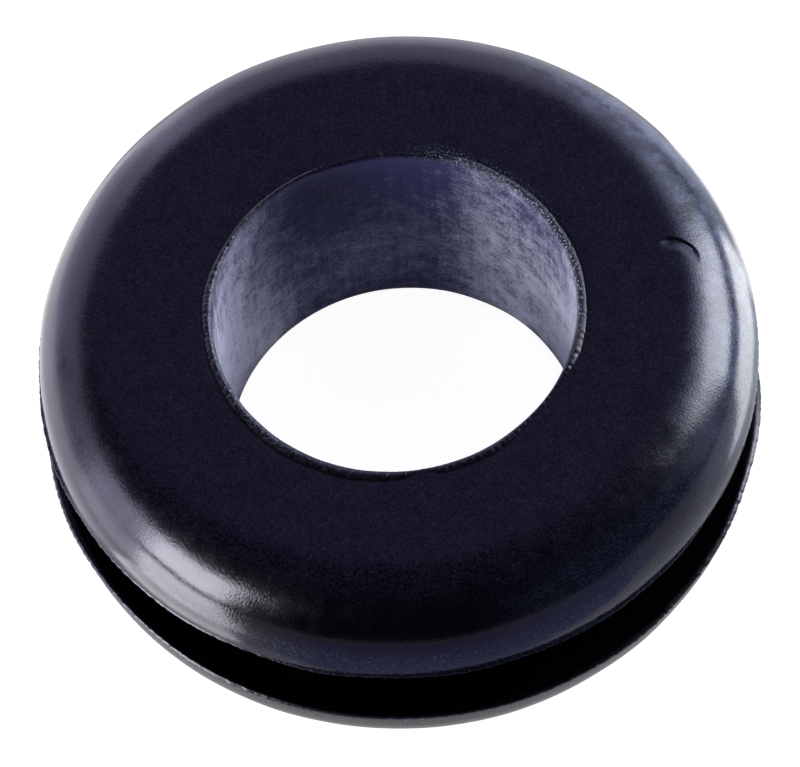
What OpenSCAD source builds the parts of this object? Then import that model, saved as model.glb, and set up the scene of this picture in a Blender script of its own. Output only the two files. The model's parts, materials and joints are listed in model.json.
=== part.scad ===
// Round rubber grommet: a ring with a straight bore, two equal flanges and a groove between them
// that snaps over the edge of a panel. One moulding, turned about Z. Lengths are in millimetres.
// The origin is the centre of the ring, on the bore's axis and half way across the panel groove.

/* [Bore] */
// Diameter of the straight hole that the cable passes through
bore_d = 12.7; // [9:0.1:15]
// Radius of the small rounding at both mouths of the bore
mouth_r = 0.3; // [0.1:0.05:0.6]

/* [Flanges] */
// Outer diameter of both flanges, without the moulding flash
flange_d = 25.4; // [22.8:0.1:30]
// Thickness of each flange, from the panel groove to its flat face
flange_t = 3.175; // [2:0.1:4.5]
// Height of the upright band at the flange's edge, below the round shoulder
edge_band = 0.2; // [0.1:0.01:1]

/* [Panel groove] */
// Width of the groove, which is the thickness of the panel that it takes
groove_w = 3.175; // [1.6:0.1:6]
// Diameter at the bottom of the groove, which is the hole in the panel
neck_d = 19.05; // [17:0.1:21]
// Radius in both corners at the bottom of the groove
groove_r = 0.4; // [0.1:0.05:0.7]

/* [Moulding flash] */
// How far the thin fin of flash stands out from the flange's edge
flash_out = 0.12; // [0.02:0.01:0.2]
// Thickness of the fin, measured from the side of the groove
flash_t = 0.15; // [0.05:0.01:0.3]

/* [Hidden] */
// Segments of each full circle
$fn = 180;
// How far a cutter runs past the face that it opens
over = 1;
bore_radius = bore_d / 2;
flange_radius = flange_d / 2;
neck_radius = neck_d / 2;
half_groove = groove_w / 2;
half_height = half_groove + flange_t;
// The shoulder is one quarter round, from the flat face down to the upright band
shoulder_r = flange_t - edge_band;

// A rectangle of the half section, from the bore out to a radius and up to a height, alike below Z = 0
module band(radius, height) {
    translate([bore_radius, -height])
        square([radius - bore_radius, 2 * height]);
}

// Everything outside a quarter round of radius r, in the quarter above and to the right of its centre
module round_off(r) {
    difference() {
        square(r + over);
        circle(r);
    }
}

// The upper flange's shoulder, which leaves the fin of flash standing below it
module shoulder_cut() {
    translate([flange_radius - shoulder_r, half_height - shoulder_r])
        round_off(shoulder_r);
}

// The rounding at the upper mouth of the bore
module mouth_cut() {
    translate([bore_radius + mouth_r, half_height - mouth_r])
        mirror([1, 0])
            round_off(mouth_r);
}

// The groove, open to the outside, with its two inner corners rounded
module groove_cut() {
    difference() {
        translate([neck_radius, -half_groove])
            square([flange_radius + over - neck_radius, groove_w]);
        for (side = [0, 1])
            mirror([0, side])
                translate([neck_radius + groove_r, half_groove - groove_r])
                    mirror([1, 0])
                        round_off(groove_r);
    }
}

// The whole half section: two flanges and their flash, less what the cuts take off
module ring_section() {
    difference() {
        union() {
            band(flange_radius, half_height);
            band(flange_radius + flash_out, half_groove + flash_t);
        }
        for (side = [0, 1])
            mirror([0, side]) {
                shoulder_cut();
                mouth_cut();
            }
        groove_cut();
    }
}

// The grommet is the half section turned once round the bore's axis
module grommet() {
    color([0.07, 0.07, 0.12])
        rotate_extrude()
            ring_section();
}

grommet();
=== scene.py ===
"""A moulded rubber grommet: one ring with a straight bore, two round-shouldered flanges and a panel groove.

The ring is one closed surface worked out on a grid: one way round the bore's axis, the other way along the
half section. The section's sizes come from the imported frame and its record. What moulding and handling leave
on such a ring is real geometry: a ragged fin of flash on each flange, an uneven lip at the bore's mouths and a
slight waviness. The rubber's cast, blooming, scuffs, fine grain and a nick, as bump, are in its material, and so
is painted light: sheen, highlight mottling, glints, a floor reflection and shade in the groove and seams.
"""

import json
import logging
import math
from dataclasses import dataclass

import bpy
import numpy as np
from mathutils import Matrix, Vector


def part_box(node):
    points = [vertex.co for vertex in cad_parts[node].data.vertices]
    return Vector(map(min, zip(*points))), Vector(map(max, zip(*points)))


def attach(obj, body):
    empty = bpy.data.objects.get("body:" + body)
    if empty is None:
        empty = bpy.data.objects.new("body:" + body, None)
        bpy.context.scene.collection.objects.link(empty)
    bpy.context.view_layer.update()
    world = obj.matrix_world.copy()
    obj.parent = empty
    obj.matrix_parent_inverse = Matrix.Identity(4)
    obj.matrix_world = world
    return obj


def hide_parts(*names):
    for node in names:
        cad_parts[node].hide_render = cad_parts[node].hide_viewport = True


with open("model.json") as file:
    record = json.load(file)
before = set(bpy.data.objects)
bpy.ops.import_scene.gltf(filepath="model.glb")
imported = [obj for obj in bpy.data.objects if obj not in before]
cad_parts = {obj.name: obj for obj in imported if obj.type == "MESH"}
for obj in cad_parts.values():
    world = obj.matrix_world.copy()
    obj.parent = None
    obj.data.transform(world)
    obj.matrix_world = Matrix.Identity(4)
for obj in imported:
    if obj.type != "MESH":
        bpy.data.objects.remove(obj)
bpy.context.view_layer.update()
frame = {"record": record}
MM = 0.001
FULL_TURN = 2.0 * math.pi
log = logging.getLogger("grommet")


def ramp(value: np.ndarray, start: float, end: float) -> np.ndarray:
    """A smooth rise from 0 at start to 1 at end: t * t * (3 - 2 t), with t the clipped share of the way.

    Args:
        value: where the rise is wanted.
        start: value at which it leaves 0.
        end: value at which it reaches 1, which may be the lower of the two.

    Returns:
        The rise, in an array of the same shape.
    """
    t = np.clip((value - start) / (end - start), 0.0, 1.0)
    return t * t * (3.0 - 2.0 * t)


@dataclass(frozen=True)
class Around:
    """A size that changes round the ring, given at a few azimuths."""

    stops: tuple

    def at(self, angle: np.ndarray) -> np.ndarray:
        """Straight lines between the stops, closed round the ring.

        Args:
            angle: angles round the ring, in radians, one to a row.

        Returns:
            The size at each angle.
        """
        azimuth, value = np.array(self.stops).T
        return np.interp(np.degrees(angle), azimuth, value, period=360.0)


@dataclass(frozen=True)
class RaggedLine:
    """A random line that closes on itself once round the ring."""

    seed: int
    fewest: int
    most: int
    fall: float

    def along(self, angle: np.ndarray) -> np.ndarray:
        """The sum of cos(k a + phase) / k**fall for k from fewest to most, over its own spread.

        Args:
            angle: angles round the ring, in radians, one to a row.

        Returns:
            The line's height at each angle, with a mean near 0 and a spread of 1.
        """
        draw = np.random.default_rng(self.seed)
        waves = np.arange(self.fewest, self.most + 1)
        phase = draw.uniform(0.0, FULL_TURN, waves.size)
        height = draw.uniform(0.4, 1.0, waves.size) / waves**self.fall
        line = (np.cos(angle * waves + phase) * height).sum(axis=1, keepdims=True)
        return line / line.std()


@dataclass(frozen=True)
class UnevenSkin:
    """A random unevenness over the whole skin that closes on itself both ways."""

    seed: int
    waves: int
    shortest: float
    longest: float

    def over(self, angle: np.ndarray, arc: np.ndarray, girth: float, length: float) -> np.ndarray:
        """The sum of plane waves cos(k a + m s + phase), k and m whole numbers, over its own spread.

        Args:
            angle: angle round the ring at each grid point, in radians.
            arc: place along the section at each grid point, from 0 to a full turn.
            girth: length once round the ring, in metres.
            length: length of the section, in metres.

        Returns:
            The unevenness at each grid point, with a mean near 0 and a spread of 1.
        """
        draw = np.random.default_rng(self.seed)
        heading = draw.uniform(0.0, FULL_TURN, self.waves)
        wave = draw.uniform(self.shortest, self.longest, self.waves)
        turns = np.rint(np.cos(heading) * girth / wave)
        climbs = np.rint(np.sin(heading) * length / wave)
        phase = draw.uniform(0.0, FULL_TURN, self.waves)
        total = np.zeros(angle.shape)
        for turn, climb, shift in zip(turns, climbs, phase):
            total += np.cos(turn * angle + climb * arc + shift)
        return total / total.std()


@dataclass
class Flange:
    """One half of the section, from the middle of the bore's wall to the middle of the neck.

    Each size is in metres and may be one number or a column of them, one for each angle round the ring.
    """

    bore_r: float
    neck_r: float
    corner_r: float
    half_groove: float
    half_height: float
    mouth_out: np.ndarray
    mouth_down: np.ndarray
    mouth_in: np.ndarray
    lip: np.ndarray
    bead: np.ndarray
    flange_r: np.ndarray
    band: float
    fin_out: np.ndarray
    fin_thickness: float
    wall_points: int
    face_points: int
    shoulder_points: int
    lip_rise: float = 0.06 * MM
    dip: float = 0.025 * MM
    hollow: float = 0.06 * MM

    def stretch(self, radius: np.ndarray, height: np.ndarray) -> np.ndarray:
        """Joins radii and heights into section points at every angle.

        Args:
            radius: radii, one row for each angle or one row for all.
            height: heights, in the same form.

        Returns:
            An array of angle by point by (radius, height).
        """
        rows = self.mouth_out.shape[0]
        radius, height = np.broadcast_arrays(radius, height)
        return np.stack([np.broadcast_to(radius, (rows, radius.shape[1])),
                         np.broadcast_to(height, (rows, height.shape[1]))], axis=2)

    def wall(self) -> np.ndarray:
        """The bore's wall, straight up from the ring's middle to where the mouth's rounding starts."""
        share = np.linspace(0.0, 1.0, self.wall_points + 1)[:-1] ** 0.8
        return self.stretch(np.full((1, share.size), self.bore_r), share * (self.half_height - self.mouth_down))

    def mouth(self) -> np.ndarray:
        """The bore's mouth: an oval rounding up to a low lip, its slope outwards and a shallow dip at its foot."""
        turn = np.radians([180.0, 158.0, 136.0, 114.0, 92.0])
        across = self.mouth_out + self.mouth_in
        rise = self.lip * self.lip_rise + self.bead
        rounding_r = self.bore_r - self.mouth_in + 0.45 * across * (1.0 + np.cos(turn))
        rounding_z = self.half_height + rise - (self.mouth_down + rise) * (1.0 - np.sin(turn))
        slope_r = self.bore_r - self.mouth_in + across * np.array([[0.55, 0.70, 0.85, 1.0, 1.15]])
        dip = -self.lip * self.dip
        slope_z = self.half_height + np.concatenate([rise, 0.65 * rise, 0.4 * dip, dip, 0.4 * dip], axis=1)
        return np.concatenate([self.stretch(rounding_r, rounding_z), self.stretch(slope_r, slope_z)], axis=1)

    def face(self) -> np.ndarray:
        """The flat face, from the lip's foot out to where the shoulder starts."""
        shoulder_r = self.half_height - self.half_groove - self.band
        start = self.bore_r - self.mouth_in + 1.3 * (self.mouth_out + self.mouth_in)
        end = self.flange_r - shoulder_r
        share = np.linspace(0.0, 1.0, self.face_points + 1)[None, :-1]
        return self.stretch(start + (end - start) * share, np.full((1, self.face_points), self.half_height))

    def shoulder(self) -> np.ndarray:
        """The shoulder: centre + shoulder_r (cos t, sin t), a quarter round from the face to the upright band."""
        shoulder_r = self.half_height - self.half_groove - self.band
        turn = np.radians(np.linspace(90.0, 0.0, self.shoulder_points))[None, :]
        centre_z = self.half_height - shoulder_r
        return self.stretch(self.flange_r - shoulder_r * (1.0 - np.cos(turn)), centre_z + shoulder_r * np.sin(turn))

    def fin(self) -> np.ndarray:
        """The band and the fin of flash under it: out along the fin's ledge, round its tip and back under it."""
        out = np.array([[0.01, 0.10, 0.75, 1.0, 0.6, 0.0]])
        hollow = self.hollow * np.array([[0.0, 0.0, 0.0, 0.0, 0.3, 1.0]])
        down = np.array([[-0.07, 0.0, 0.08, 0.28, 0.62, 1.0]])
        top = self.half_groove + self.fin_thickness
        return self.stretch(self.flange_r + self.fin_out * out - hollow, top - self.fin_thickness * down)

    def groove(self) -> np.ndarray:
        """The groove's flat side and its rounded inner corner, down to the neck."""
        inner = self.neck_r + self.corner_r
        side = np.array([[self.flange_r.mean() - 0.15 * MM, 0.5 * (self.flange_r.mean() + inner)]])
        turn = np.radians([[90.0, 125.0, 180.0]])
        corner_r = inner + self.corner_r * np.cos(turn)
        corner_z = self.half_groove - self.corner_r * (1.0 - np.sin(turn))
        return np.concatenate([self.stretch(side, np.full(side.shape, self.half_groove)),
                               self.stretch(corner_r, corner_z)], axis=1)

    def outline(self) -> np.ndarray:
        """Joins the stretches.

        Returns:
            An array of angle by point by (radius, height), heights above the ring's middle.
        """
        return np.concatenate([self.wall(), self.mouth(), self.face(), self.shoulder(), self.fin(),
                               self.groove()], axis=1)

    def marks(self, bore: tuple, trimmed: tuple, painted_shade: tuple) -> dict:
        """Marks the outline's points for the finish: bore wall, trimmed flash, and painted shade, near black, in the
        dip at the lip's foot, at the fin and in the groove.

        Args:
            bore: share of bore wall at the mouth's first points.
            trimmed: share of trimmed flash at the mouth's points and then at the fin's.
            painted_shade: share of painted shade at the mouth's points and then at the fin's.

        Returns:
            For each mark, an array of angle by point.
        """
        rows = self.lip.shape[0]
        between = np.zeros((rows, self.face_points + self.shoulder_points))
        wall, groove = np.ones((rows, self.wall_points)), np.ones((rows, 5))
        whole = np.ones((rows, 1))
        mouth_bore = whole * np.array([bore + (0.0,) * (10 - len(bore))])
        return {
            "bore": np.concatenate([wall, mouth_bore, between, np.zeros((rows, 11))], axis=1),
            "trimmed": np.concatenate([0.0 * wall, self.lip * np.array([trimmed[:10]]), between,
                                       whole * np.array([trimmed[10:]]), 0.0 * groove], axis=1),
            "painted_shade": np.concatenate([0.0 * wall, self.lip * np.array([painted_shade[:10]]), between,
                                    whole * np.array([painted_shade[10:]]), groove], axis=1),
        }


@dataclass
class Grommet:
    """The whole ring, as one moulding."""

    bore_r: float
    mouth_r: float
    neck_r: float
    half_groove: float
    half_height: float
    fin_r: float
    bore_marks: tuple = (0.9, 0.6, 0.3, 0.1)
    trimmed_marks: tuple = (0.1, 0.4, 0.8, 1.0, 1.0, 0.9, 0.6, 0.3, 0.1, 0.0, 0.2, 0.6, 0.8, 0.9, 0.9, 0.3)
    painted_shade_marks: tuple = (0.0, 0.0, 0.0, 0.0, 0.0, 0.1, 0.5, 0.9, 1.0, 0.4, 0.1, 0.6, 0.5, 0.5, 0.8, 1.0)
    fin_out: float = 0.12 * MM
    fin_thickness: float = 0.15 * MM
    band: float = 0.20 * MM
    corner_r: float = 0.4 * MM
    angles: int = 1100
    skin: UnevenSkin = UnevenSkin(seed=11, waves=60, shortest=2.2 * MM, longest=7.0 * MM)
    skin_height: float = 0.004 * MM

    @classmethod
    def from_frame(cls, record: dict) -> "Grommet":
        """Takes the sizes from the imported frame.

        Args:
            record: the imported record, whose mounts give the bore and the groove.

        Returns:
            The ring at the frame's sizes.
        """
        low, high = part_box("grommet")
        dims = {mount["name"]: mount["dims"] for mount in record["mounts"]}
        mouth_r = high.z - dims["bore"]["length_mm"] * MM / 2.0
        return cls(bore_r=dims["bore"]["r_mm"] * MM, mouth_r=mouth_r, neck_r=dims["panel_groove"]["r_mm"] * MM,
                   half_groove=dims["panel_groove"]["length_mm"] * MM / 2.0, half_height=high.z, fin_r=high.x)

    def upper(self, angle: np.ndarray) -> Flange:
        """The upper flange, which the photograph shows from above.

        Args:
            angle: angles round the ring, in radians, one to a row.

        Returns:
            Its sizes at each angle.
        """
        rag = RaggedLine(seed=3, fewest=90, most=450, fall=0.3).along(angle)
        slow = RaggedLine(seed=4, fewest=3, most=18, fall=0.5).along(angle)
        beads = RaggedLine(seed=5, fewest=25, most=220, fall=0.2).along(angle)
        share = Around(((-180.0, 0.6), (-176.0, 1.1), (-164.0, 1.1), (-154.0, 0.3), (-118.0, 0.12), (-104.0, 0.7),
                        (-90.0, 0.95), (-48.0, 0.85), (-38.0, 0.15), (0.0, 0.1), (60.0, 0.15), (120.0, 0.2),
                        (168.0, 0.2))).at(angle)
        fin = self.fin_out * np.clip(share + 0.10 * slow + 0.07 * rag, 0.02, 1.15)
        out = Around(((-180.0, 0.42), (-150.0, 0.44), (-120.0, 0.48), (-94.0, 0.50), (-86.0, 0.20), (-80.0, 0.42),
                      (-60.0, 0.40), (-48.0, 0.20), (-32.0, 0.22), (-22.0, 0.38), (0.0, 0.36), (20.0, 0.34),
                      (45.0, 0.30), (58.0, 0.28), (72.0, 0.20), (100.0, 0.12), (125.0, 0.16), (145.0, 0.24),
                      (160.0, 0.34))).at(angle)
        down = Around(((-150.0, 0.16), (-90.0, 0.26), (-60.0, 0.14), (0.0, 0.14), (30.0, 0.16), (60.0, 0.20),
                       (90.0, 0.12), (115.0, 0.26), (150.0, 0.16))).at(angle)
        inward = Around(((62.0, 0.0), (76.0, 0.12), (102.0, 0.13), (116.0, 0.02), (125.0, 0.0))).at(angle)
        lip = Around(((-150.0, 1.0), (-94.0, 0.9), (-86.0, 0.0), (-78.0, 0.8), (-60.0, 0.8), (-48.0, 0.1),
                      (-32.0, 0.1), (-20.0, 1.4), (20.0, 1.3), (45.0, 0.6), (58.0, 0.7), (72.0, 0.0), (104.0, 0.0),
                      (120.0, 0.5), (150.0, 0.9))).at(angle)
        waver = 1.0 + 0.06 * slow + 0.02 * beads
        return Flange(bore_r=self.bore_r, mouth_out=out * MM * waver, mouth_down=down * MM, mouth_in=inward * MM,
                      lip=lip, bead=0.008 * MM * beads, neck_r=self.neck_r, corner_r=self.corner_r,
                      half_groove=self.half_groove, half_height=self.half_height,
                      flange_r=self.fin_r - self.fin_out + 0.01 * MM * slow, band=self.band, fin_out=fin,
                      fin_thickness=self.fin_thickness, wall_points=7, face_points=6, shoulder_points=15)

    def lower(self, angle: np.ndarray) -> Flange:
        """The lower flange, finished like the upper one but with less flash at the front.

        Args:
            angle: angles round the ring, in radians, one to a row.

        Returns:
            Its sizes at each angle.
        """
        rag = RaggedLine(seed=6, fewest=90, most=450, fall=0.3).along(angle)
        slow = RaggedLine(seed=7, fewest=3, most=18, fall=0.5).along(angle)
        beads = RaggedLine(seed=8, fewest=60, most=400, fall=0.1).along(angle)
        share = Around(((-180.0, 0.6), (-172.0, 0.9), (-162.0, 0.9), (-150.0, 0.5), (-138.0, 0.15), (-75.0, 0.12),
                        (-50.0, 0.7), (-28.0, 0.7), (-18.0, 1.0), (-3.0, 1.0), (6.0, 0.2), (90.0, 0.2),
                        (160.0, 0.3))).at(angle)
        fin = self.fin_out * np.clip(share + 0.08 * slow + 0.08 * rag, 0.02, 1.1)
        return Flange(bore_r=self.bore_r, mouth_out=self.mouth_r * (1.0 + 0.15 * slow),
                      mouth_down=self.mouth_r + 0.0 * slow, mouth_in=0.0 * slow,
                      lip=0.0 * slow, bead=-0.008 * MM * ramp(beads, -1.0, 2.0), neck_r=self.neck_r,
                      corner_r=self.corner_r, half_groove=self.half_groove, half_height=self.half_height,
                      flange_r=self.fin_r - self.fin_out + 0.01 * MM * slow, band=self.band, fin_out=fin,
                      fin_thickness=self.fin_thickness, wall_points=6, face_points=4, shoulder_points=11)

    def points(self) -> tuple:
        """The skin's points: the section carried round the axis, then moved along its normal by the skin.

        Returns:
            The points as angle by section by (x, y, z), and the angle at each row.
        """
        angle = np.linspace(-math.pi, math.pi, self.angles, endpoint=False)[:, None]
        above = self.upper(angle).outline()
        below = self.lower(angle).outline()[:, ::-1] * np.array([1.0, -1.0])
        section = np.concatenate([above, below[:, :-1]], axis=1)
        radius, height = section[..., 0], section[..., 1]
        step = np.roll(section, -1, axis=1) - section
        step_length = np.hypot(step[..., 0], step[..., 1])
        arc = np.cumsum(step_length, axis=1) - step_length
        length = float(step_length.sum(axis=1).mean())
        uneven = self.skin.over(np.broadcast_to(angle, radius.shape), FULL_TURN * arc / length,
                                FULL_TURN * self.fin_r, length)
        tangent = np.roll(section, -1, axis=1) - np.roll(section, 1, axis=1)
        tangent /= np.hypot(tangent[..., 0], tangent[..., 1])[..., None]
        outward = self.skin_height * uneven * self.flat_share(height)
        radius, height = radius - tangent[..., 1] * outward, height + tangent[..., 0] * outward
        return np.stack([radius * np.cos(angle), radius * np.sin(angle), height], axis=2), angle

    def flat_share(self, height: np.ndarray) -> np.ndarray:
        """How much of the unevenness the skin has: none on the lower face, on which the ring stands.

        Args:
            height: height at each grid point, in metres.

        Returns:
            Shares from 0 to 1.
        """
        return ramp(height, -self.half_height, -self.half_height + 0.4 * MM)

    def build(self) -> bpy.types.Object:
        """Puts the skin into a mesh: quads between neighbouring rows and columns, closed both ways.

        The map for baking runs once round the ring in u and once along the section in v, by length.

        Returns:
            The ring, at the origin.
        """
        points, angle = self.points()
        rows, columns = points.shape[:2]
        row = np.arange(rows)[:, None]
        column = np.arange(columns)[None, :]
        next_row = (row + 1) % rows
        next_column = (column + 1) % columns
        corners = np.stack([row * columns + column, row * columns + next_column,
                            next_row * columns + next_column, next_row * columns + column], axis=2)
        mesh = bpy.data.meshes.new("grommet_skin")
        mesh.from_pydata(points.reshape(-1, 3), [], corners.reshape(-1, 4))
        mesh.shade_smooth()
        lengths = np.linalg.norm(np.roll(points, -1, axis=1) - points, axis=2).mean(axis=0)
        along = np.concatenate([[0.0], np.cumsum(lengths)]) / lengths.sum()
        u = np.stack([row, row, row + 1, row + 1], axis=2) / rows + 0.0 * column[..., None]
        v = np.stack([along[:-1], along[1:], along[1:], along[:-1]], axis=1)[None] + 0.0 * u
        layer = mesh.uv_layers.new(name="OFBake")
        layer.data.foreach_set("uv", np.stack([u, v], axis=3).ravel())
        shares = (self.bore_marks, self.trimmed_marks, self.painted_shade_marks)
        upper, lower = self.upper(angle).marks(*shares), self.lower(angle).marks(*shares)
        for name in upper:
            self.mark(mesh, name, np.concatenate([upper[name], lower[name][:, :0:-1]], axis=1))
        ring = bpy.data.objects.new("grommet_ring", mesh)
        bpy.context.collection.objects.link(ring)
        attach(ring, "root")
        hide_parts("grommet")
        log.info("ring: %d points, %d quads", points.size // 3, corners.size // 4)
        return ring

    @staticmethod
    def mark(mesh: bpy.types.Mesh, name: str, values: np.ndarray) -> None:
        """Stores one number for each point of the mesh, for the finish to read.

        Args:
            mesh: the ring's mesh.
            name: the attribute's name.
            values: the numbers, angle by section.
        """
        layer = mesh.attributes.new(name, "FLOAT", "POINT")
        layer.data.foreach_set("value", values.astype(np.float32).ravel())


class Value:
    """One number inside a material, whose operators add Math nodes."""

    def __init__(self, bench: "Bench", socket: bpy.types.NodeSocket) -> None:
        """Keeps the socket and the bench that adds the nodes."""
        self.bench = bench
        self.socket = socket

    def __add__(self, other: "Value | float") -> "Value":
        """The sum."""
        return self.bench.maths("ADD", self, other)

    def __sub__(self, other: "Value | float") -> "Value":
        """The difference."""
        return self.bench.maths("SUBTRACT", self, other)

    def __rsub__(self, other: float) -> "Value":
        """A number less this value."""
        return self.bench.maths("SUBTRACT", other, self)

    def __mul__(self, other: "Value | float") -> "Value":
        """The product."""
        return self.bench.maths("MULTIPLY", self, other)

    def __pow__(self, other: float) -> "Value":
        """This value to a power."""
        return self.bench.maths("POWER", self, other)

    __radd__ = __add__
    __rmul__ = __mul__


class Bench:
    """Builds the nodes of one material."""

    def __init__(self, name: str) -> None:
        """Starts an empty material.

        Args:
            name: the material's name.
        """
        self.material = bpy.data.materials.new(name)
        self.material.use_nodes = True
        self.tree = self.material.node_tree
        self.tree.nodes.clear()

    def node(self, kind: str, settings: dict, values: dict, output: int | str = 0) -> Value:
        """Adds any node.

        Args:
            kind: the node's type.
            settings: the node's own settings, which are set first.
            values: values or links for its sockets, by name or number.
            output: the socket to read, by name or number.

        Returns:
            The value of that output.
        """
        added = self.tree.nodes.new(kind)
        for name, setting in settings.items():
            setattr(added, name, setting)
        for name, value in values.items():
            if isinstance(value, Value):
                self.tree.links.new(value.socket, added.inputs[name])
            else:
                added.inputs[name].default_value = value
        return Value(self, added.outputs[output])

    def maths(self, operation: str, first: Value | float, second: Value | float) -> Value:
        """Adds a Math node on two values."""
        return self.node("ShaderNodeMath", {"operation": operation}, {0: first, 1: second})

    def rise(self, value: Value, start: float, end: float) -> Value:
        """A smooth rise from 0 at start to 1 at end, held at both."""
        return self.node("ShaderNodeMapRange", {"interpolation_type": "SMOOTHSTEP"},
                         {"Value": value, "From Min": start, "From Max": end})

    def noise(self, where: Value, grain: float, detail: float = 2.0, rough: float = 0.5) -> Value:
        """Noise whose grain is about the given length, in metres, with a mean of about 0.5."""
        return self.node("ShaderNodeTexNoise", {"noise_dimensions": "3D"},
                         {"Vector": where, "Scale": 1.0 / grain, "Detail": detail, "Roughness": rough})

    def blend(self, share: Value, first: Value | tuple, second: Value | tuple) -> Value:
        """A colour between two, by a share."""
        first = first if isinstance(first, Value) else (*first, 1.0)
        second = second if isinstance(second, Value) else (*second, 1.0)
        return self.node("ShaderNodeMix", {"data_type": "RGBA"}, {0: share, 6: first, 7: second}, 2)

    def stretched(self, where: Value, x: float, y: float, z: float) -> Value:
        """Coordinates scaled along each axis."""
        return self.node("ShaderNodeVectorMath", {"operation": "MULTIPLY"}, {0: where, 1: (x, y, z)})

    def mark(self, name: str) -> Value:
        """The number that the mesh keeps under a name."""
        return self.node("ShaderNodeAttribute", {"attribute_name": name}, {}, "Fac")

    def finish(self, shader: Value) -> bpy.types.Material:
        """Joins the shader to the material's output.

        Args:
            shader: the closing shader.

        Returns:
            The material.
        """
        self.node_output = self.tree.nodes.new("ShaderNodeOutputMaterial")
        self.tree.links.new(shader.socket, self.node_output.inputs["Surface"])
        return self.material


@dataclass(frozen=True)
class Nick:
    """A short curved cut where the face turns into the shoulder: y = top - bend (x - middle)**2."""

    start: float = 9.40 * MM
    end: float = 10.85 * MM
    middle: float = 9.85 * MM
    top: float = 1.69 * MM
    bend: float = 620.0
    wall_width: float = 0.20 * MM
    floor_width: float = 0.50 * MM
    shade_width: float = 0.25 * MM

    def reach(self, bench: Bench, x: Value, z: Value) -> Value:
        """How far the cut is open along its length.

        Args:
            bench: the material's bench.
            x: the place's x.
            z: the place's z.

        Returns:
            A share from 0 to 1.
        """
        ends = bench.rise(x, self.start, self.middle) * (1.0 - bench.rise(x, self.end - 0.3 * MM, self.end))
        return ends * bench.rise(z, 3.3 * MM, 3.8 * MM)

    def masks(self, bench: Bench, x: Value, y: Value, z: Value) -> tuple:
        """The cut's depth, with a steep far wall and a long near slope, and the shade at the wall's foot.

        Args:
            bench: the material's bench.
            x: the place's x.
            y: the place's y.
            z: the place's z.

        Returns:
            The depth and the shade, each a share from 0 to 1.
        """
        off = y + self.bend * (x - self.middle) ** 2.0 - self.top
        reach = self.reach(bench, x, z)
        steep = 1.0 - bench.rise(off, 0.0, self.wall_width)
        gentle = bench.rise(off, -self.floor_width, 0.0)
        shade = steep * bench.rise(off, -self.shade_width, -0.3 * self.shade_width)
        return reach * steep * gentle, reach * shade


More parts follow.
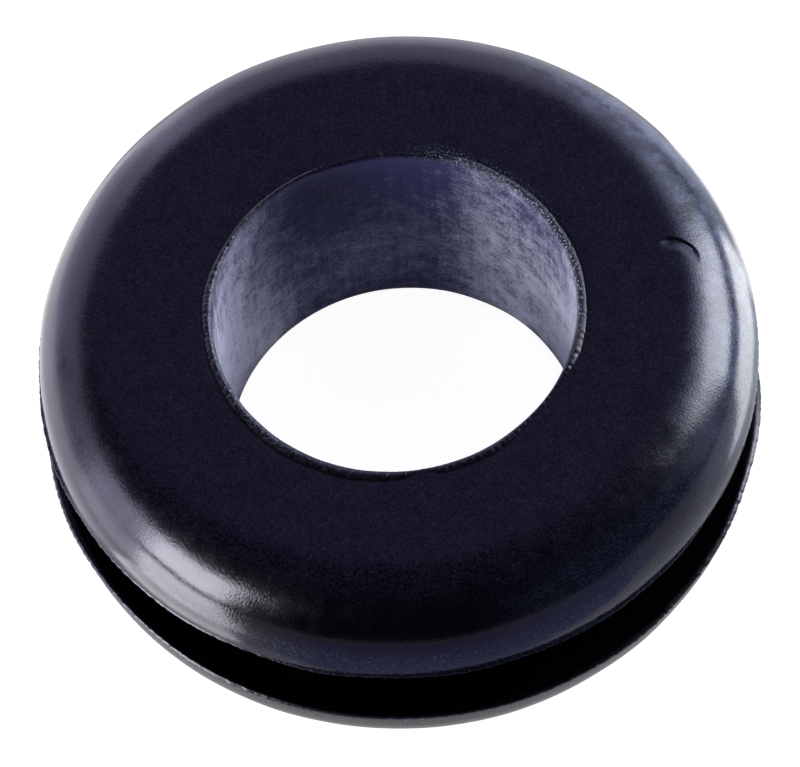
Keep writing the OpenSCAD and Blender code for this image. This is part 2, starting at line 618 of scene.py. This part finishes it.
@dataclass(frozen=True)
class Rubber:
    """Black moulded rubber: a blue-black body, satin and finely grained, with a dry, scuffed, bloomed surface in the
    bore; its colour also carries painted light and shade.
    """

    body: tuple = (0.0007, 0.0006, 0.0016)
    cloud: tuple = (0.0066, 0.0060, 0.0175)
    # Bluish film on the lit shoulders: partly a hazy film, partly painted sheen.
    haze_and_painted_sheen: tuple = (0.050, 0.062, 0.125)
    # Pale blotches in the right shoulder's highlight: partly bloomed rubber, partly painted highlight mottling.
    bloom_and_painted_highlight: tuple = (0.090, 0.112, 0.180)
    slate: tuple = (0.011, 0.010, 0.074)
    # Pale end of the bore wall's colour: its paler bloomed spots, and its painted light towards the sides and lower
    # down.
    pale_bloom_and_painted_light: tuple = (0.60, 0.61, 0.77)
    soot: tuple = (0.016, 0.014, 0.026)
    dust: tuple = (0.16, 0.20, 0.30)
    # Pale flecks on the lip: partly linty fluff, partly painted glints.
    lint_and_painted_glints: tuple = (0.42, 0.52, 0.66)
    # Pale band on the lower flange's edge: partly a chalky film, partly painted floor reflection.
    chalk_and_painted_reflection: tuple = (0.125, 0.112, 0.112)
    # Near black for painted shade in the groove, at the fin, in the lip's dip and in the nick.
    painted_shade_black: tuple = (0.0004, 0.0004, 0.0008)
    gloss_tint: tuple = (0.84, 0.83, 1.0)
    ior: float = 1.5
    polished: float = 0.16
    satin: float = 0.24
    dry: float = 0.90
    grain: float = 0.09 * MM
    grain_height: float = 0.009 * MM
    bore_r: float = 6.35 * MM
    flange_r: float = 12.7 * MM
    nick: Nick = Nick()
    nick_depth: float = 7.0

    def wall(self, bench: Bench, where: Value, x: Value, z: Value, mottle: Value, drift: Value) -> Value:
        """The bore wall's colour: bloomed rubber with grain, dashes, smudges and runs, under painted light: paler to
        the sides and lower down, darker near the mouth at the far left.

        Args:
            bench: the material's bench.
            where: object coordinates.
            x: the place's x.
            z: the place's z.
            mottle: noise under a millimetre.
            drift: noise of a few millimetres.

        Returns:
            The colour.
        """
        left, far_left = (bench.rise(x, near * self.bore_r, far * self.bore_r)
                          for near, far in ((-0.42, -1.06), (-0.88, -0.97)))
        right, far_right, last_right = (bench.rise(x, near * self.bore_r, far * self.bore_r)
                                        for near, far in ((0.20, 0.70), (0.86, 0.96), (0.955, 1.0)))
        painted_light_with_depth = bench.rise(z, 4.5 * MM, -1.0 * MM) - 0.5
        low = bench.rise(z, 1.2 * MM, -1.8 * MM)
        ledge = bench.rise(bench.maths("ABSOLUTE", z + 1.25 * MM, 0.0), 0.16 * MM, 0.02 * MM)
        grain = bench.noise(where, 0.10 * MM, 2.0, 0.7)
        dashes = bench.noise(bench.stretched(where, 1.0, 1.0, 2.6), 0.45 * MM, 3.0, 0.7)
        runs = bench.noise(bench.stretched(where, 1.0, 1.0, 0.08), 0.24 * MM, 2.0, 0.6)
        scuffs = bench.rise(dashes, 0.55, 0.68) * bench.rise(drift, 0.42, 0.60)
        smudge = bench.rise(drift, 0.55, 0.70) * bench.rise(mottle, 0.48, 0.62)
        texture = (1.2 * (mottle - 0.5) + 0.6 * (runs - 0.5) + 1.1 * (dashes - 0.5) + 1.3 * (grain - 0.5)
                   + 0.6 * (drift - 0.5))
        # Painted light on the wall: paler to the left and right sides and most at the right edge, paler lower down
        # and lower on the sides, and darker near the mouth at the far left (painted shade). The ledge term is a faint
        # paler line round the wall 1.25 mm below its middle; the texture terms are the wall's own mottling, runs,
        # dashes, grain and drift.
        pale = (0.07 + 0.86 * left + 0.50 * right + 0.45 * far_right * bench.rise(z, 2.0 * MM, 0.2 * MM)
                + 0.35 * last_right + painted_light_with_depth * (0.30 + 0.17 * left + 0.12 * right) + 0.24 * low * (left + right)
                - 0.33 * far_left * bench.rise(z, 3.4 * MM, 4.4 * MM) + texture * (0.50 + 0.25 * (left + right))
                + 0.12 * ledge * mottle)
        colour = bench.blend(bench.rise(pale, -0.05, 1.45), self.slate, self.pale_bloom_and_painted_light)
        dirt = bench.rise(texture, 0.0, -0.55) * 0.42
        return bench.blend(bench.maths("MAXIMUM", dirt, bench.maths("MAXIMUM", 0.36 * scuffs, 0.45 * smudge)),
                           colour, self.soot)

    def material(self) -> bpy.types.Material:
        """Mixes the body, a hazy film with painted sheen, bloomed patches with painted highlight mottling, a chalky
        lower edge with painted floor reflection, the bore's bloomed wall with its scuffs and painted light, linty
        flecks with painted glints, painted shade in the groove, seams and nick, and the grain.

        Returns:
            The rubber's material.
        """
        bench = Bench("rubber")
        where = bench.node("ShaderNodeTexCoord", {}, {}, "Object")
        x, y, z = (bench.node("ShaderNodeSeparateXYZ", {}, {0: where}, axis) for axis in range(3))
        radius = bench.maths("SQRT", x * x + y * y, 0.0)
        outwards = bench.maths("DIVIDE", self.flange_r, radius)
        brushed = bench.node("ShaderNodeCombineXYZ", {}, {0: x * outwards, 1: y * outwards, 2: 0.12 * (radius - z)})
        bore, trimmed, painted_shade = bench.mark("bore"), bench.mark("trimmed"), bench.mark("painted_shade")
        fine = bench.noise(where, self.grain, 2.0, 0.6)
        mottle = bench.noise(where, 0.7 * MM, 3.0)
        drift = bench.noise(where, 3.5 * MM, 2.0)
        streaks = bench.noise(brushed, 0.22 * MM, 3.0, 0.65)
        specks = bench.rise(bench.noise(where, 0.10 * MM, 2.0, 0.6), 0.58, 0.70)
        grit = bench.rise(bench.noise(where, 0.075 * MM, 1.0), 0.35, 0.72)
        level = bench.maths("ABSOLUTE", z, 0.0)
        top = bench.rise(level, 3.75 * MM, 4.5 * MM)
        flat = bench.rise(level, 4.2 * MM, 4.72 * MM)
        # Pale blotches on the right shoulder, laid only where the key lamp's highlight falls: partly bloomed rubber,
        # partly painted mottling of the highlight.
        blotches = bench.noise(where, 0.9 * MM, 5.0, 0.62)
        bloom_patches_and_painted_highlight = (bench.rise(x, 4.0 * MM, 8.5 * MM) * bench.rise(y, -7.0 * MM, 1.0 * MM)
                   * bench.rise(level, 4.75 * MM, 4.45 * MM) * bench.rise(blotches, 0.40, 0.65))
        # A bluish hazy film on the shoulders, away from the front and on the right, where the lamps light them:
        # partly a hazy film, partly painted sheen round the highlights. The flange edge's fine grit takes the same
        # colour.
        lit = bench.maths("MAXIMUM", bench.rise(y, -9.5 * MM, -5.0 * MM), 0.75 * bench.rise(x, 1.0 * MM, 6.0 * MM))
        haze_film_and_painted_sheen = lit * bench.rise(level, 4.55 * MM, 3.9 * MM) * (0.08 + 0.50 * mottle * grit)
        edge = bench.rise(radius, 12.35 * MM, 12.62 * MM)
        spray = 0.03 + 0.14 * bench.rise(y, -8.0 * MM, -11.0 * MM) + 0.22 * bench.rise(x, 8.5 * MM, 11.0 * MM)
        # A pale chalky band along the lower flange's outer edge: partly a mottled chalky film, partly painted
        # reflection of the floor, which that edge sees at a grazing angle.
        lower = (bench.rise(radius, 11.6 * MM, 12.68 * MM) * bench.rise(z, -1.5 * MM, -1.9 * MM)
                 * (0.30 + 0.8 * mottle * grit))
        face = bench.blend(grit * (0.12 + 0.88 * flat), self.body, self.cloud)
        face = bench.blend(haze_film_and_painted_sheen + 0.25 * edge * grit, face, self.haze_and_painted_sheen)
        face = bench.blend(bloom_patches_and_painted_highlight * (0.40 + 0.36 * grit), face, self.bloom_and_painted_highlight)
        face = bench.blend(lower, face, self.chalk_and_painted_reflection)
        colour = bench.blend(bore, face, self.wall(bench, where, x, z, mottle, drift))
        colour = bench.blend((0.010 + 0.02 * top + edge * spray) * specks, colour, self.dust)
        # Pale flecks on the trimmed lip, some at the left and most at the right, and on the flat face just outside
        # the mouth at the back right: partly linty fluff, partly painted glints.
        lint_and_painted_glints = bench.rise(bench.noise(where, 0.07 * MM, 2.0, 0.6), 0.56, 0.68)
        left_rim = 0.22 * bench.rise(x, -2.5 * MM, -5.0 * MM)
        right_rim = 0.85 * bench.rise(x, 1.0 * MM, 4.0 * MM) * bench.rise(y, -3.5 * MM, 2.0 * MM)
        fuzz = 0.4 * (flat * bench.rise(radius, 7.0 * MM, 6.5 * MM) * bench.rise(y, 2.0 * MM, 5.0 * MM)
                      * bench.rise(x, 0.5 * MM, 3.0 * MM))
        colour = bench.blend(trimmed * lint_and_painted_glints * (0.06 + left_rim + right_rim), colour, self.lint_and_painted_glints)
        colour = bench.blend(fuzz * lint_and_painted_glints, colour, self.lint_and_painted_glints)
        depth, shade = self.nick.masks(bench, x, y, z)
        # Painted shade: the groove, the fin, the dip at the lip's foot and the nick's far wall turn near black.
        colour = bench.blend(bench.maths("MAXIMUM", painted_shade, shade), colour, self.painted_shade_black)
        gloss = self.polished + (self.satin - self.polished) * top
        uneven = (mottle - 0.5) * 0.20 + (streaks - 0.5) * 0.12 * top + (fine - 0.5) * 0.14 + 0.03 * top * specks
        worn = bench.maths("MAXIMUM", 0.2, bench.rise(x, -2.0 * MM, 3.0 * MM) * bench.rise(y, -4.5 * MM, 0.0))
        roughness = gloss + (bore + 0.85 * trimmed * worn) * (self.dry - gloss) + uneven
        height = (fine * (0.45 + 0.35 * top) + 0.25 * top * streaks + 0.20 * mottle + 1.5 * bore * fine
                  + 1.6 * trimmed * worn * bench.noise(where, 0.12 * MM) - self.nick_depth * depth)
        normal = bench.node("ShaderNodeBump", {}, {"Strength": 1.0, "Distance": self.grain_height,
                                                   "Height": height})
        return bench.finish(bench.node("ShaderNodeBsdfPrincipled", {},
                                       {"Base Color": colour, "Roughness": roughness, "IOR": self.ior,
                                        "Specular Tint": (*self.gloss_tint, 1.0), "Normal": normal}))


@dataclass(frozen=True)
class TableTop:
    """The pale floor: a plain white sheet that mirrors only what is seen along it."""

    size: float = 1.6
    colour: tuple = (0.28, 0.28, 0.28)
    glow: float = 0.95
    mirrored_glow: float = 0.35
    sheen_roughness: float = 0.08
    mirror: float = 0.95
    mirror_power: float = 1.3
    rim_points: int = 128

    def build(self, height: float) -> bpy.types.Object:
        """Lays the floor: a fan of triangles round its centre.

        Args:
            height: the floor's height.

        Returns:
            The floor, staged.
        """
        turn = np.linspace(0.0, FULL_TURN, self.rim_points, endpoint=False)
        rim = np.stack([self.size * np.cos(turn), self.size * np.sin(turn), np.full(turn.shape, height)], axis=1)
        step = np.arange(self.rim_points)
        fan = np.stack([np.full(step.shape, self.rim_points), step, (step + 1) % self.rim_points], axis=1)
        mesh = bpy.data.meshes.new("floor_sheet")
        mesh.from_pydata(np.concatenate([rim, [[0.0, 0.0, height]]]), [], fan)
        mesh.materials.append(self.material())
        floor = bpy.data.objects.new("floor", mesh)
        bpy.context.collection.objects.link(floor)
        return floor

    def material(self) -> bpy.types.Material:
        """A white sheet, lit from within a little, under a gloss that grows towards grazing angles.

        Returns:
            The floor's material.
        """
        bench = Bench("pale_floor")
        facing = bench.node("ShaderNodeLayerWeight", {}, {"Blend": 0.5}, "Facing")
        matt = bench.node("ShaderNodeBsdfDiffuse", {}, {"Color": (*self.colour, 1.0)})
        gloss = bench.node("ShaderNodeBsdfGlossy", {}, {"Color": (1.0, 1.0, 1.0, 1.0),
                                                        "Roughness": self.sheen_roughness})
        share = self.mirror * facing**self.mirror_power
        sheet = bench.node("ShaderNodeMixShader", {}, {0: share, 1: matt, 2: gloss})
        camera, glossy, through = (bench.node("ShaderNodeLightPath", {}, {}, ray) for ray in
                                   ("Is Camera Ray", "Is Glossy Ray", "Is Transmission Ray"))
        mirrored = bench.maths("MINIMUM", glossy + through, 1.0)
        light = bench.node("ShaderNodeEmission", {}, {"Strength": self.glow * camera + self.mirrored_glow * mirrored})
        return bench.finish(bench.node("ShaderNodeAddShader", {}, {0: sheet, 1: light}))


@dataclass(frozen=True)
class PaintedShadeCard:
    """A grey card that lies in front of the ring, out of the picture, and keeps its front dark: it puts painted shade
    into the ring's front reflections, unseen by the camera and casting no shadow.
    """

    corners: tuple = ((-70.0 * MM, -90.0 * MM), (150.0 * MM, -90.0 * MM), (27.0 * MM, -16.0 * MM),
                      (-12.5 * MM, -16.0 * MM))
    lift: float = 0.1 * MM
    colour: tuple = (0.27, 0.26, 0.48)
    left_fade: tuple = (-0.78, -0.34)
    right_fade: tuple = (1.7, 0.9)

    def build(self, height: float) -> bpy.types.Object:
        """Lays the card just above the floor, where only reflections find it.

        Args:
            height: the floor's height.

        Returns:
            The card, staged.
        """
        mesh = bpy.data.meshes.new("front_painted_shade_card")
        mesh.from_pydata([(x, y, height + self.lift) for x, y in self.corners], [], [(0, 1, 2, 3)])
        bench = Bench("painted_shade_card")
        card_face = bench.node("ShaderNodeBsdfDiffuse", {}, {"Color": (*self.colour, 1.0)})
        clear = bench.node("ShaderNodeBsdfTransparent", {}, {})
        upper_side = 1.0 - bench.node("ShaderNodeNewGeometry", {}, {}, "Backfacing")
        where = bench.node("ShaderNodeTexCoord", {}, {}, "Object")
        x, y = (bench.node("ShaderNodeSeparateXYZ", {}, {0: where}, axis) for axis in range(2))
        across = bench.maths("DIVIDE", x, -1.0 * y)
        solid = upper_side * bench.rise(across, *self.left_fade) * bench.rise(across, *self.right_fade)
        mesh.materials.append(bench.finish(bench.node("ShaderNodeMixShader", {},
                                                      {0: solid, 1: clear, 2: card_face})))
        card = bpy.data.objects.new("front_painted_shade_card", mesh)
        card.visible_camera = False
        card.visible_shadow = False
        bpy.context.collection.objects.link(card)
        return card


@dataclass(frozen=True)
class Softbox:
    """A rectangle lamp that faces the ring, given by where it shows from the ring and how bright it looks."""

    name: str
    azimuth_deg: float
    elevation_deg: float
    width_deg: float
    height_deg: float
    radiance: float
    colour: tuple = (1.0, 1.0, 1.0)
    distance: float = 0.45

    def build(self) -> bpy.types.Object:
        """Sets the lamp up: its power is its radiance times pi times its area.

        Returns:
            The lamp.
        """
        width = 2.0 * self.distance * math.tan(math.radians(self.width_deg) / 2.0)
        height = 2.0 * self.distance * math.tan(math.radians(self.height_deg) / 2.0)
        light = bpy.data.lights.new(self.name, "AREA")
        light.shape = "RECTANGLE"
        light.size = width
        light.size_y = height
        light.color = self.colour
        light.energy = self.radiance * math.pi * width * height
        azimuth, elevation = math.radians(self.azimuth_deg), math.radians(self.elevation_deg)
        away = Vector((math.cos(elevation) * math.cos(azimuth), math.cos(elevation) * math.sin(azimuth),
                       math.sin(elevation)))
        lamp = bpy.data.objects.new(self.name, light)
        lamp.location = away * self.distance
        lamp.rotation_euler = away.to_track_quat("Z", "Y").to_euler()
        lamp.visible_camera = False
        bpy.context.collection.objects.link(lamp)
        return lamp


@dataclass(frozen=True)
class TableLight:
    """A small lamp that lies in the table beside or inside the ring and shines up, like light that falls on the table."""

    name: str
    azimuth_deg: float
    radius: float
    length: float
    width: float
    radiance: float

    def build(self, height: float) -> bpy.types.Object:
        """Lays the lamp just above the floor, with its length pointing away from the ring.

        Args:
            height: the floor's height.

        Returns:
            The lamp.
        """
        azimuth = math.radians(self.azimuth_deg)
        light = bpy.data.lights.new(self.name, "AREA")
        light.shape = "RECTANGLE"
        light.size = self.length
        light.size_y = self.width
        light.energy = self.radiance * math.pi * self.length * self.width
        lamp = bpy.data.objects.new(self.name, light)
        lamp.location = (self.radius * math.cos(azimuth), self.radius * math.sin(azimuth), height + 0.05 * MM)
        lamp.rotation_euler = (math.pi, 0.0, azimuth)
        lamp.visible_camera = False
        bpy.context.collection.objects.link(lamp)
        return lamp


@dataclass(frozen=True)
class Studio:
    """The stage round the ring: floor, soft lamps and a dim surrounding."""

    floor: TableTop = TableTop()
    # A dark card seen only in reflections: painted shade on the ring's front.
    card: PaintedShadeCard = PaintedShadeCard()
    surround: tuple = (0.008, 0.008, 0.016)
    lamps: tuple = (
        Softbox("key_box", 25.0, 24.0, 31.0, 33.0, 12.0, (0.96, 1.0, 1.0)),
        Softbox("key_box_top", 32.0, 45.0, 27.0, 9.0, 3.2, (0.62, 0.75, 1.0)),
        Softbox("upper_right_box", 53.0, 21.0, 24.0, 36.0, 1.1, (0.62, 0.72, 1.0)),
        Softbox("blue_strip", 26.0, 3.6, 34.0, 6.0, 1.2, (0.30, 0.45, 1.0)),
        Softbox("left_box", -151.0, 17.0, 25.0, 29.5, 15.0, (1.0, 0.97, 0.95)),
        Softbox("left_feather", -174.0, 14.0, 24.0, 28.0, 3.5, (0.92, 0.85, 1.0)),
        Softbox("left_panel", 163.0, 14.0, 18.0, 28.0, 1.0, (0.86, 0.80, 1.0)),
        Softbox("back_panel", 84.0, 18.0, 62.0, 34.0, 1.1, (0.76, 0.74, 1.0)),
        Softbox("back_left_panel", 130.0, 15.0, 42.0, 30.0, 1.4, (0.80, 0.76, 1.0)),
        Softbox("right_panel", -3.0, 15.0, 16.0, 26.0, 0.9, (0.70, 0.74, 1.0)),
        Softbox("overhead_panel", 90.0, 57.0, 66.0, 34.0, 0.22, (0.62, 0.55, 1.0)),
    )
    table_lights: tuple = (
        TableLight("left_pool", -143.0, 20.5 * MM, 8.0 * MM, 9.5 * MM, 2.8),
        TableLight("left_wash", 172.0, 34.0 * MM, 38.0 * MM, 40.0 * MM, 0.85),
        TableLight("right_pool", 33.0, 18.0 * MM, 5.5 * MM, 9.0 * MM, 1.1),
        TableLight("hole_light", 0.0, 0.0, 8.8 * MM, 8.8 * MM, 0.8),
    )

    def build(self, height: float) -> None:
        """Lays the floor, lights the lamps and tints the surrounding.

        Args:
            height: the floor's height.
        """
        self.floor.build(height)
        self.card.build(height)
        for lamp in self.lamps:
            lamp.build()
        for lamp in self.table_lights:
            lamp.build(height)
        world = bpy.data.worlds.new("surround")
        world.use_nodes = True
        world.node_tree.nodes["Background"].inputs["Color"].default_value = (*self.surround, 1.0)
        world.node_tree.nodes["Background"].inputs["Strength"].default_value = 1.0
        bpy.context.scene.world = world
        bpy.context.scene.view_settings.view_transform = "Standard"
        log.info("studio: %d lamps", len(self.lamps))


@dataclass(frozen=True)
class PhotoCamera:
    """The camera at the photograph's viewing angle, for an image of 800 by 767 pixels."""

    elevation_deg: float = 60.432
    distance: float = 182.54 * MM
    focal_px: float = 5127.8
    image_width: int = 800
    pan_deg: float = -0.0126
    tilt_deg: float = 0.0789
    roll_deg: float = 5.531
    sensor: float = 36.0

    def build(self) -> bpy.types.Object:
        """Stands the camera in front of the ring, above it, aimed at its middle and rolled a little.

        Returns:
            The camera.
        """
        elevation = math.radians(self.elevation_deg)
        back = Vector((0.0, -math.cos(elevation), math.sin(elevation)))
        right = Vector((1.0, 0.0, 0.0))
        facing = Matrix((right, back.cross(right), back)).transposed()
        turned = (Matrix.Rotation(math.radians(-self.pan_deg), 3, "Y")
                  @ Matrix.Rotation(math.radians(-self.tilt_deg), 3, "X")
                  @ Matrix.Rotation(math.radians(-self.roll_deg), 3, "Z"))
        lens = bpy.data.cameras.new("photo_camera")
        lens.sensor_fit = "HORIZONTAL"
        lens.sensor_width = self.sensor
        lens.lens = self.focal_px * self.sensor / self.image_width
        lens.clip_start = 0.01
        camera = bpy.data.objects.new("photo_camera", lens)
        camera.matrix_world = Matrix.Translation(back * self.distance) @ (facing @ turned).to_4x4()
        bpy.context.collection.objects.link(camera)
        bpy.context.scene.camera = camera
        return camera


def main() -> None:
    """Builds the ring, its stage and the camera."""
    logging.basicConfig(level=logging.INFO, format="%(name)s: %(message)s")
    grommet = Grommet.from_frame(frame["record"])
    ring = grommet.build()
    ring.data.materials.append(Rubber().material())
    Studio().build(-grommet.half_height)
    PhotoCamera().build()


if __name__ == "__main__":
    main()
